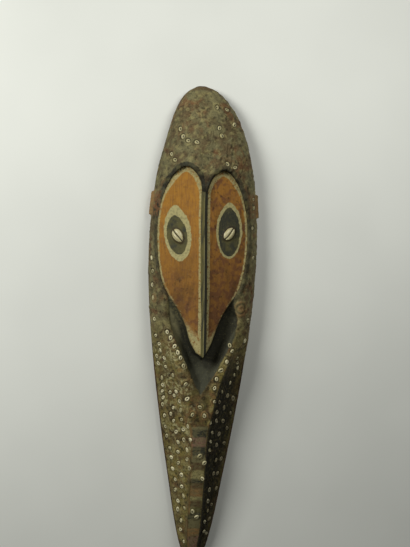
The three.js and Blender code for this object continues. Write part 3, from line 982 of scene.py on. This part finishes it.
class Finish(Nodes):
    """A procedural material. Sizes are in millimetres, and a paint is named as in the panel."""

    def __init__(self, name, roughness, specular):
        self.material = bpy.data.materials.new(name)
        self.material.use_nodes = True
        super().__init__(self.material.node_tree)
        self.shader = self.tree.nodes["Principled BSDF"]
        self.shader.inputs["Roughness"].default_value = roughness
        self.shader.inputs["Specular IOR Level"].default_value = specular
        self.place = self.add("ShaderNodeTexCoord").outputs["Object"]
        x, y, _ = self.add("ShaderNodeSeparateXYZ", {0: self.place}).outputs
        self.x, self.y = self.both(x, 1 / MM), self.both(y, 1 / MM)

    def mark(self, name):
        """A number kept on the mesh's points."""
        return self.add("ShaderNodeAttribute", attribute_name=name).outputs["Fac"]

    def noise(self, size, detail=3, stretch=(1, 1, 1), shift=0, distortion=0):
        """Noise from about 0 to 1, with lumps of a size in millimetres."""
        place = self.add("ShaderNodeMapping", {
            "Vector": self.place, "Location": (shift, shift * 0.7, -shift),
            "Scale": [1 / (size * MM * s) for s in stretch],
        }).outputs[0]
        return self.add("ShaderNodeTexNoise", {
            "Vector": place, "Scale": 1, "Detail": detail, "Distortion": distortion,
        }).outputs["Fac"]

    def step(self, value, low, high):
        """0 below low, 1 above high, eased between. A low above high turns it round."""
        ends = {"To Min": int(low > high), "To Max": int(low <= high)}
        return self.add("ShaderNodeMapRange", {
            "Value": value, "From Min": min(low, high), "From Max": max(low, high), **ends,
        }, interpolation_type="SMOOTHSTEP").outputs[0]

    def patch(self, size, low, high, detail=3, **noise):
        """Share of a paint that lies in patches."""
        return self.step(self.noise(size, detail, **noise), low, high)

    def wobble(self, value, amount, size=7, shift=0):
        """A distance shifted in and out by noise, for hand-painted edges."""
        return self.scaled(
            self.math("SUBTRACT", self.noise(size, 2, shift=shift), 0.5), 2 * amount, value)

    def ragged(self, value, low, high, *wobble):
        """Step with a hand-painted edge."""
        return self.step(self.wobble(value, *wobble), low, high)

    def mix(self, share, a, b):
        """Colour a where share is 0, colour b where it is 1."""
        a, b = [(*paint(c), 1) if isinstance(c, str) else c for c in (a, b)]
        return self.add("ShaderNodeMix", {0: share, 6: a, 7: b}, data_type="RGBA").outputs[2]

    def coats(self, base, *coats):
        """Colours laid one over another. Each says its colour, then shares to multiply."""
        for colour, *shares in coats:
            base = self.mix(self.both(*shares), base, colour)
        return base

    def finish(self, base, roughness=None, height=None, strength=0.5, depth=1):
        shader = self.shader.inputs
        self.tree.links.new(base, shader["Base Color"])
        if roughness:
            self.tree.links.new(roughness, shader["Roughness"])
        if height:
            bump = self.add("ShaderNodeBump", {
                "Strength": strength, "Distance": depth * MM, "Height": height})
            self.tree.links.new(bump.outputs[0], shader["Normal"])
        return self.material


# Stripes of the keel from the top down: where each ends, and its paint
KEEL_STRIPES = (
    (-178, "clay"), (-192, "black"), (-210, "pink"), (-226, "black"), (-240, "clay"),
    (-256, "clay_brown"), (-272, "clay_pale"), (-280, "black"), (-291, "clay_brown"),
    (-308, "tan"), (-315, "clay_pale"), (-328, "clay_brown"), (-340, "ash"), (-352, "black"),
    (-372, "clay"), (-388, "tan"), (-450, "pink"),
)
STRIPE_SMEAR = 2.6
# How far the wear of a lug runs past its middle, and where it starts to fade
LUG_WEAR = (26, 20)


def paste_colour(f, across):
    """Clay paste with brown and rust patches, pale residue and dark patches, darker in its pits,
    low spots and round its shells, with painted shade along its left flank.
    """
    beard = f.step(f.y, 50, -60)
    rougher = f.scaled(beard, 0.3, 0.7)
    earth = f.mix(f.patch(9, 0.42, 0.6, 4, shift=36), "tan", "clay_warm")
    above_keel = f.both(f.ragged(f.y, -104, -122, 8, 12, 36), f.step(f.y, -182, -168))
    beside_keel = f.ragged(f.math("ABSOLUTE", across), 30, 20, 5, 12, 37)
    rust_zone = f.patch(34, 0.52, 0.64, shift=9, distortion=0.4)
    smoky = f.both(f.patch(42, 0.5, 0.64, shift=30), 0.16)
    # Painted shade along the left flank, which faces the key light
    left_flank_shade = f.both(f.step(across, -32, -66), 0.24)
    seat = f.mark("seat")
    # Dark specks, and darker paste in low spots, pits and round the shells' seats
    dark_specks_and_hollows = f.either(
        f.both(f.ragged(f.mark("relief"), 0.2, -1.1, 0.9, 3, 2), 0.8),
        f.both(f.patch(2.6, 0.54, 0.66, shift=7), rougher, 0.75),
        f.both(f.mark("pit"), 0.8),
        f.both(f.step(seat, 7.5, 6), f.step(seat, 4.2, 5), 0.75),
        f.both(f.patch(1.5, 0.55, 0.65, 2, shift=31), rougher, 0.6),
    )
    return f.coats(
        "clay",
        ("clay_warm", beard),
        ("clay_brown", f.patch(24, 0.44, 0.6, 5, distortion=0.5), 0.75),
        ("tan", beard, f.patch(14, 0.5, 0.66, 4, shift=21), 0.4),
        (earth, above_keel, beside_keel, 0.85),
        ("rust", rust_zone, f.patch(13, 0.3, 0.55, 4, shift=5), f.scaled(beard, -0.3, 0.7)),
        ("clay_pale", f.patch(10, 0.48, 0.64, 5, shift=3), 0.5),
        ("grime_and_shade", f.patch(9, 0.52, 0.66, 5, shift=22), rougher, 0.65),
        ("grime_and_shade", f.either(smoky, left_flank_shade)),
        ("residue", f.patch(6, 0.46, 0.6, 5, shift=23), beard, f.step(across, 4, -18),
         f.scaled(f.step(f.y, -250, -190), 0.75, 0.25), f.patch(30, 0.4, 0.6, 2, shift=24), 0.85),
        ("grime_and_shade", dark_specks_and_hollows, 0.8),
    )


def cream_colour(f):
    """Pale paint, greyed and browned by handling."""
    return f.coats("cream", ("clay", f.patch(4, 0.42, 0.66, 5, shift=15), 0.55))


def dark_paint(f):
    """Worn black paint, grey where it has rubbed thin."""
    return f.coats(
        "black",
        ("ash", f.patch(22, 0.42, 0.66, 4, shift=11), 0.8),
        ("ash", f.patch(2.2, 0.45, 0.65, stretch=(1, 4, 1), shift=5), 0.25),
    )


def lobe_colour(f, lobe, across):
    """Ochre lobes with streaks and mottling, darker low down, with painted shade on the right lobe,
    pale edge lines and pale lower tips.
    """
    low = f.step(f.y, 230, 20)
    right = f.step(across, -2, 2)
    # Painted shade: the right lobe, which faces away from the key light, gets more red ochre, dark
    # smudges and dark patches
    mottling_and_shade = f.both(f.patch(13, 0.42, 0.66, 4, shift=6, distortion=0.5),
                     f.either(f.both(right, 0.8), f.both(low, 0.6), 0.3))
    smudges = f.patch(24, 0.48, 0.64, 5, stretch=(1, 2.4, 1), shift=32, distortion=0.6)
    aside = f.math("ABSOLUTE", across)
    inner = f.scaled(f.both(right, f.step(f.y, 25, 75)), -1.4, aside)
    outer = f.total(f.wobble(lobe, 1.8, 8, 3), f.scaled(f.step(f.y, 235, 285), -5.5, 0.6))
    kept = f.either(f.step(f.y, 35, 105), f.both(f.patch(6, 0.46, 0.6, 4, shift=38), 0.7))
    tips = f.math("SUBTRACT", f.scaled(right, 3, f.wobble(f.y, 8, 6, 2)), aside)
    lines = f.either(f.ragged(inner, 10.4, 9, 1, 9, 1), f.both(f.step(outer, 4.4, 2.6), kept),
                     f.step(tips, -8, -27))
    return f.coats(
        "ochre",
        # The shares on the right are painted shade
        ("ochre_red_and_shade", f.total(mottling_and_shade, f.total(f.both(low, 0.35), f.both(right, 0.25)))),
        ("ochre_red_and_shade", f.patch(1.6, 0.48, 0.64, stretch=(1, 16, 1), shift=2), 0.42),
        ("wood_dark", smudges, f.either(low, right, 0.3), 0.4),
        ("grime_and_shade", low, 0.22),
        ("grime_and_shade", f.patch(7, 0.58, 0.72, 4, shift=12), f.either(right, low, 0.35), 0.55),
        (cream_colour(f), lines, f.patch(4, 0.3, 0.5, 5, shift=8), 0.9),
    )


def nose_colour(f, across):
    """Grey-green left flank, worn pale crest, and black on the right flank as painted shade."""
    crest = f.wobble(across, 0.35, 9, 3)
    return f.coats(
        "ash",
        ("black", f.patch(8, 0.4, 0.65, 4, stretch=(1, 5, 1))),
        # Painted shade: black over the right flank, which faces away from the key light
        ("black", f.ragged(across, 0.2, 0.9, 0.3, 5)),
        ("cream", f.step(crest, -1.9, -1.2), f.step(crest, 0.9, 0.2),
         f.patch(6, 0.35, 0.55, stretch=(1, 6, 1), shift=2),
         f.scaled(f.step(f.y, 165, 215), -0.2, 0.32)),
    )


def face_colour(f, lobe, across, dark):
    """The lobes with the eyes' pale rings and dark ovals, and the nose between them."""
    faded = f.both(f.step(across, 4, -4), f.patch(9, 0.35, 0.6, 5, shift=26), 0.6)
    lower_left = f.both(f.step(across, 2, -2), f.step(f.y, 90, 20), 1.5)
    nose = f.total(f.math("ABSOLUTE", across), lower_left)
    return f.coats(
        lobe_colour(f, lobe, across),
        (cream_colour(f), f.ragged(f.mark("eye_pale"), -0.5, 0.6, 2.2, 7, 5)),
        (f.mix(faded, dark, "ash"), f.ragged(f.mark("eye_dark"), -0.5, 0.5, 1.6, 6, 6)),
        ("wood_dark", f.ragged(f.mark("bed"), 19, 15.5, 2.2, 5, 7), 0.6),
        (nose_colour(f, across), f.ragged(nose, 6.9, 6.1, 0.4, 9, 2)),
    )


def hollow_colour(f, lobe, across):
    """Grey hollow under the face with black paint near the lobes, and a painted shadow of the lobes
    that reaches further on the right.
    """
    worn = f.both(f.step(f.y, -30, 20), f.patch(6, 0.35, 0.6, 4, shift=18))
    right = f.step(across, -4, 14)
    # Painted shadow of the lobes over the hollow, reaching further on the right
    near = f.scaled(right, f.scaled(f.step(f.y, -12, 22), 9, 20), 3)
    lobe_shadow = f.step(f.total(f.wobble(lobe, 5, 12, 19), near), -13, -3)
    lobe_shadow = f.both(lobe_shadow, f.either(right, f.step(f.y, 35, 0), 0.15), 0.7)
    wall = f.both(f.patch(16, 0.5, 0.66, 4, shift=20), 0.3)
    return f.coats(
        "black",
        ("hollow", f.scaled(worn, 0.7, 0.3)),
        ("clay", f.step(across, -30, -46), 0.6),
        ("black", f.ragged(lobe, -15, -5, 4, 6, 39), f.patch(5, 0.4, 0.56, 5, shift=40), 0.8),
        ("grime_and_shade", f.either(lobe_shadow, wall)),
    )


def keel_colour(f, across):
    """Hand-painted bands, smeared and dirty, darker on their right with sooty paint and painted
    shade.
    """
    y = f.wobble(f.y, 3.4, 8, 6)
    (_, lowest), *stripes = KEEL_STRIPES[::-1]
    soil = f.both(f.patch(3, 0.5, 0.66, 5, shift=16), 0.35)
    # Sooty paint and painted shade darken the right of the keel, which faces away from the key
    # light
    shaded = f.both(f.ragged(across, 1, 17, 4, 7, 33), 0.45)
    return f.coats(
        lowest,
        *[(name, f.step(y, end - STRIPE_SMEAR, end + STRIPE_SMEAR)) for end, name in stripes],
        ("clay", f.patch(4, 0.4, 0.6, 5, stretch=(2.5, 1, 1), shift=6), 0.55),
        ("grime_and_shade", f.either(soil, shaded)),
    )


def black_band(f, lobe, across):
    """Share of black over the tops of the lobes, wide on the left and thin on the right."""
    left = f.step(across, 2, -2)
    beyond = f.total(f.wobble(lobe, 3, 9, 4), f.scaled(left, 3.5, 5))
    above = f.both(f.step(beyond, -1, 1), f.ragged(f.y, 180, 225, 12, 14))
    beside = f.step(f.scaled(left, -4, f.wobble(lobe, 3, 9, 28)), -10.5, -7.5)
    return f.either(above, f.both(beside, 0.7))


def painted_paste():
    """Paste coat, paint and bare wood of the whole mask."""
    f = Finish("painted_paste", 0.8, 0.18)
    lobe, jaw, keel, edge, across = map(f.mark, ("lobe", "jaw", "keel", "edge", "across"))
    dark = dark_paint(f)
    charred = f.mix(f.patch(12, 0.4, 0.65, 4, shift=25), "grime_and_shade", dark)
    # Soot and painted shade on the right of the beard, which faces away from the key light, thinner
    # towards the rim
    soot_and_shade = (
        f.ragged(f.mark("slope"), -1.5, 3, 1.2, 6, 8),
        f.scaled(f.ragged(edge, -3, 30, 10, 8, 4), 0.5, 0.5),
        f.ragged(f.y, -20, -100, 14, 20),
        f.scaled(f.patch(4.5, 0.5, 0.68, 5, shift=27), -0.4, 0.96),
    )
    ridge = f.step(f.math("ABSOLUTE", f.wobble(keel, 1.6, 6, 34)), 3.2, 1)
    rubbed = f.patch(8, 0.42, 0.56, 4, stretch=(1, 3, 1), shift=35)
    # Rusty lugs with worn ends, and bare wood at the rim
    beside = f.math("ABSOLUTE", f.x)
    y = f.wobble(f.y, 4, 8, 43)
    lug = f.both(*[
        f.step(y, *[LUG["y"] + side * reach for reach in LUG_WEAR]) for side in (-1, 1)])
    patchy = f.patch(6, 0.36, 0.58, 5, shift=42)
    bare = f.ragged(edge, 3.4, 1.6, 2.2, 6, 2)
    grain = f.noise(2.2, 4, stretch=(1, 22, 1), distortion=0.6)
    wood = f.coats(
        "wood",
        ("wood_dark", f.step(grain, 0.38, 0.62)),
        ("wood_dark", f.patch(30, 0.45, 0.65, stretch=(1, 2.5, 1), shift=4), 0.7),
    )
    base = f.coats(
        paste_colour(f, across),
        ("tan", f.mark("ring"), 0.55),
        ("wood_dark", f.ragged(f.mark("brow"), -8, 5, 3, 8, 12), f.step(f.y, 215, 220), 0.5),
        (charred, black_band(f, lobe, across), 0.92),
        ("grime_and_shade", *soot_and_shade),
        (keel_colour(f, across), f.ragged(keel, -1.2, 1, 2, 5, 9),
         f.patch(3.5, 0.3, 0.45, 5, shift=17)),
        ("tan", ridge, rubbed, f.step(across, 0, -5), 0.6),
        (hollow_colour(f, lobe, across), f.ragged(jaw, -1.5, 1.5, 2.4, 8, 8)),
        (face_colour(f, lobe, across, dark), f.ragged(lobe, -0.4, 0.5, 0.8, 6, 1)),
        ("clay_brown", f.step(f.y, 408, 430), f.ragged(edge, 14, 7, 4, 10, 44), 0.65),
        ("rust", lug, f.ragged(beside, 78, 88, 4, 8, 41), patchy, 0.7),
        (wood, bare),
        ("tan", lug, f.step(edge, 14, 8), f.step(beside, 88, 93), f.scaled(patchy, 0.4, 0.35)),
        ("clay_pale", f.patch(3, 0.55, 0.75, 5, shift=14), f.step(edge, 0, 4), 0.16),
    )
    painted = f.either(*[f.step(zone, -1, 1) for zone in (lobe, jaw, keel)])
    crumbs = f.both(f.noise(3.2, shift=3), f.scaled(painted, -0.75, 1))
    fine = f.both(f.noise(1.3, 4, shift=1), 0.35)
    height = f.total(fine, crumbs, f.both(grain, bare, 0.5))
    return f.finish(base, f.scaled(f.noise(9, shift=2), 0.3, 0.6), height, 0.85, 1)


def cowrie_shell():
    f = Finish("cowrie_shell", 0.34, 0.5)
    freckles = f.both(f.patch(2, 0.6, 0.75, 4), 0.35)
    # Painted shade in the slit and between the teeth, with brown freckles
    stain = f.either(f.step(f.mark("groove"), 0.25, 0.75), freckles)
    base = f.coats("cowrie", ("cream", f.patch(5, 0.4, 0.7)), ("grime_and_shade", stain, 0.9))
    return f.finish(base, f.scaled(stain, 0.4, 0.32), f.noise(0.8, 2), 0.15, 0.3)


def nassa_shell():
    """Pale shell, dusty on the forehead, with painted shade on the right of the beard and in its
    open back.
    """
    f = Finish("nassa_shell", 0.45, 0.5)
    base = f.coats(
        "shell",
        ("clay_pale", f.mark("tone"), 0.75),
        ("clay_brown", f.patch(2.5, 0.48, 0.7), 0.35),
        ("clay_pale", f.step(f.y, 60, 260), 0.65),
        # Painted shade on the shells on the right of the beard
        ("clay_brown", f.step(f.x, 18, 30), f.step(f.y, -90, -140), 0.6),
        # Painted shade in the open back
        ("grime_and_shade", f.step(f.mark("mouth"), 0.3, 0.9)),
    )
    return f.finish(base, None, f.noise(0.9, 2), 0.2, 0.3)


def studio_floor():
    f = Finish("studio_floor", 0.75, 0.2)
    darker = [0.95 * c for c in paint("floor")]
    return f.finish(f.mix(f.patch(260, 0.3, 0.7, 2), "floor", (*darker, 1)))


# Camera: at the photograph's angle, rolled as it is there, with the tip below the frame
CAMERA_TARGET = (2.5, 105, 40)
CAMERA_TURNS = ((-6, "Y"), (-3, "X"), (2.03, "Z"))
CAMERA_DISTANCE = 1400
CAMERA_LENS = 50
# Floor and lights, in metres
FLOOR_SIZE = 7.0
FLOOR_DROP = 0.0002
# Each light: name, place, size and power
LIGHTS = (
    ("key_light", (-1.19, 0.69, 1.16), 0.65, 23), ("fill_light", (0.42, 0.73, 0.85), 0.5, 4.9),
)
WORLD_LIGHT = 0.04
WORLD_COLOUR = (1, 1, 0.97, 1)
BACKDROP = (0.3, 0.3, 0.29, 1)


def camera_matrix():
    """Place of the camera, backed away from its target after three turns."""
    matrix = Matrix.Translation(Vector(CAMERA_TARGET) * MM)
    for angle, axis in CAMERA_TURNS:
        matrix @= Matrix.Rotation(math.radians(angle), 4, axis)
    return matrix @ Matrix.Translation((0, 0, CAMERA_DISTANCE * MM))


def add_light(name, place, size, power):
    light = bpy.data.lights.new(name, "AREA")
    light.size = size
    light.energy = power
    lamp = add_object(name, light)
    lamp.location = place
    lamp.rotation_euler = (-Vector(place)).to_track_quat("-Z", "Y").to_euler()


def studio_world():
    """Weak even light, with a brighter grey where the camera sees past the floor."""
    world = bpy.data.worlds.new("studio")
    world.use_nodes = True
    n = Nodes(world.node_tree)
    light = n.tree.nodes["Background"]
    light.inputs["Color"].default_value = WORLD_COLOUR
    light.inputs["Strength"].default_value = WORLD_LIGHT
    seen = n.add("ShaderNodeBackground", {"Color": BACKDROP}).outputs[0]
    camera_ray = n.add("ShaderNodeLightPath").outputs["Is Camera Ray"]
    shader = n.add("ShaderNodeMixShader", {0: camera_ray, 1: light.outputs[0], 2: seen})
    n.tree.links.new(shader.outputs[0], n.tree.nodes["World Output"].inputs["Surface"])
    return world


class AddStage(bpy.types.Operator):
    """Add the pale floor, the soft lights and the camera"""
    bl_idname = "spirit_mask.add_stage"
    bl_label = "Add Stage"

    def execute(self, context):
        scene = context.scene
        half = FLOOR_SIZE / 2
        corners = [(-half, -half), (half, -half), (half, half), (-half, half)]
        mesh = bpy.data.meshes.new("floor")
        mesh.from_pydata([(x, y, -FLOOR_DROP) for x, y in corners], [], [(0, 1, 2, 3)])
        mesh.materials.append(studio_floor())
        add_object("floor", mesh)
        for light in LIGHTS:
            add_light(*light)
        scene.world = studio_world()
        scene.view_settings.view_transform = "Standard"
        lens = bpy.data.cameras.new("camera")
        lens.lens = CAMERA_LENS
        scene.camera = add_object("camera", lens)
        scene.camera.matrix_world = camera_matrix()
        return {"FINISHED"}


class AddCarvedMask(bpy.types.Operator):
    """Add the carved, paste-coated and painted mask"""
    bl_idname = "spirit_mask.add_carved_mask"
    bl_label = "Add Carved Mask"

    def execute(self, context):
        piece = add_piece("carved_mask", carved_mesh(), painted_paste())
        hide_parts("wooden_mask")
        return {"FINISHED"}


class AddEyeShells(bpy.types.Operator):
    """Add the two cowries set in the painted eyes"""
    bl_idname = "spirit_mask.add_eye_shells"
    bl_label = "Add Eye Shells"

    def execute(self, context):
        material = cowrie_shell()
        for node, *place in EYES:
            name = node.replace("eye_", "")
            piece = add_piece(name, cowrie_mesh(name, eye_place(*place)), material)
            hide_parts(node)
        return {"FINISHED"}


class AddNassaShells(bpy.types.Operator):
    """Add the small shells pressed into the paste"""
    bl_idname = "spirit_mask.add_nassa_shells"
    bl_label = "Add Nassa Shells"

    def execute(self, context):
        material = nassa_shell()
        piece = add_piece("nassa_shells", shells_mesh(material), material)
        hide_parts(*[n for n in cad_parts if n.startswith("nassa_shell_")])
        return {"FINISHED"}


class SpiritMaskPanel(bpy.types.Panel):
    """Sizes, colours and pieces of the mask"""
    bl_idname = "SPIRIT_MASK_PT_main"
    bl_label = "Spirit Mask"
    bl_space_type = "VIEW_3D"
    bl_region_type = "UI"
    bl_category = "Mask"

    def draw(self, context):
        for group in (context.scene.mask_sizes, context.scene.mask_colours):
            box = self.layout.box()
            for name in group.__annotations__:
                box.prop(group, name)
        for operator in OPERATORS:
            self.layout.operator(operator.bl_idname)


OPERATORS = (AddStage, AddCarvedMask, AddEyeShells, AddNassaShells)
CLASSES = (MaskSizes, MaskColours, *OPERATORS, SpiritMaskPanel)


def register():
    for cls in CLASSES:
        bpy.utils.register_class(cls)
    bpy.types.Scene.mask_sizes = bpy.props.PointerProperty(type=MaskSizes)
    bpy.types.Scene.mask_colours = bpy.props.PointerProperty(type=MaskColours)


def unregister():
    del bpy.types.Scene.mask_colours
    del bpy.types.Scene.mask_sizes
    for cls in reversed(CLASSES):
        bpy.utils.unregister_class(cls)


def main():
    register()
    bpy.ops.spirit_mask.add_stage()
    bpy.ops.spirit_mask.add_carved_mask()
    bpy.ops.spirit_mask.add_eye_shells()
    bpy.ops.spirit_mask.add_nassa_shells()


if __name__ == "__main__":
    main()
